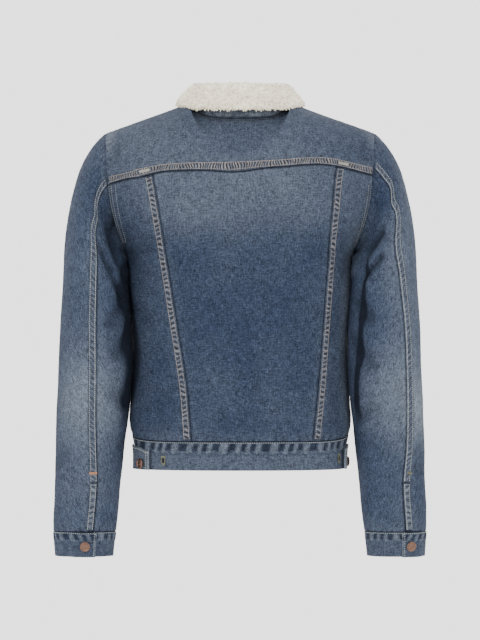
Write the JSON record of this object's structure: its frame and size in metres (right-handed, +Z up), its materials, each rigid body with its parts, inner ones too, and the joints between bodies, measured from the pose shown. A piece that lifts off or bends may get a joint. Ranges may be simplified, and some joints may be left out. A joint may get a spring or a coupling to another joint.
{
  "type": "denim trucker jacket with a fleece collar",
  "caption": "Waist-length denim jacket with a turned-down fleece collar, yoke, felled seams, vented cuffs and waist tabs, filled out as worn with nobody in it.",
  "frame": {"origin": "middle of the neck opening, level with the neck ends of the shoulder seams", "axes": "+Z up as worn, the front faces -Y, the wearer's left is +X"},
  "size_m": [0.5722, 0.2569, 0.7258],
  "materials": {
    "denim": "washed indigo denim, matt",
    "denim_seams": "denim worn pale on its ridges, stitched",
    "fleece": "short curly cream fleece",
    "buttons": "aged copper, satin"
  },
  "bodies": {
    "root": {"back_centre": "denim", "back_side_left": "denim", "back_side_right": "denim", "button_cuff_left": "buttons", "button_cuff_right": "buttons", "button_front_1": "buttons", "button_front_2": "buttons", "button_front_3": "buttons", "button_front_4": "buttons", "button_front_5": "buttons", "button_front_6": "buttons", "button_tab_left": "buttons", "button_tab_right": "buttons", "button_waistband": "buttons", "collar_denim": "denim", "collar_fleece": "fleece", "cuff_left": "denim", "cuff_right": "denim", "front_band": "denim", "front_left": "denim", "front_right": "denim", "seam_back_left": "denim_seams", "seam_back_right": "denim_seams", "seam_sleeve_left": "denim_seams", "seam_sleeve_right": "denim_seams", "seam_yoke": "denim_seams", "sleeve_top_left": "denim", "sleeve_top_right": "denim", "sleeve_under_left": "denim", "sleeve_under_right": "denim", "tab_left": "denim", "tab_right": "denim", "vent_left": "denim_seams", "vent_right": "denim_seams", "waistband_back": "denim", "waistband_left": "denim", "waistband_right": "denim", "yoke_back": "denim"}
  },
  "joints": []
}
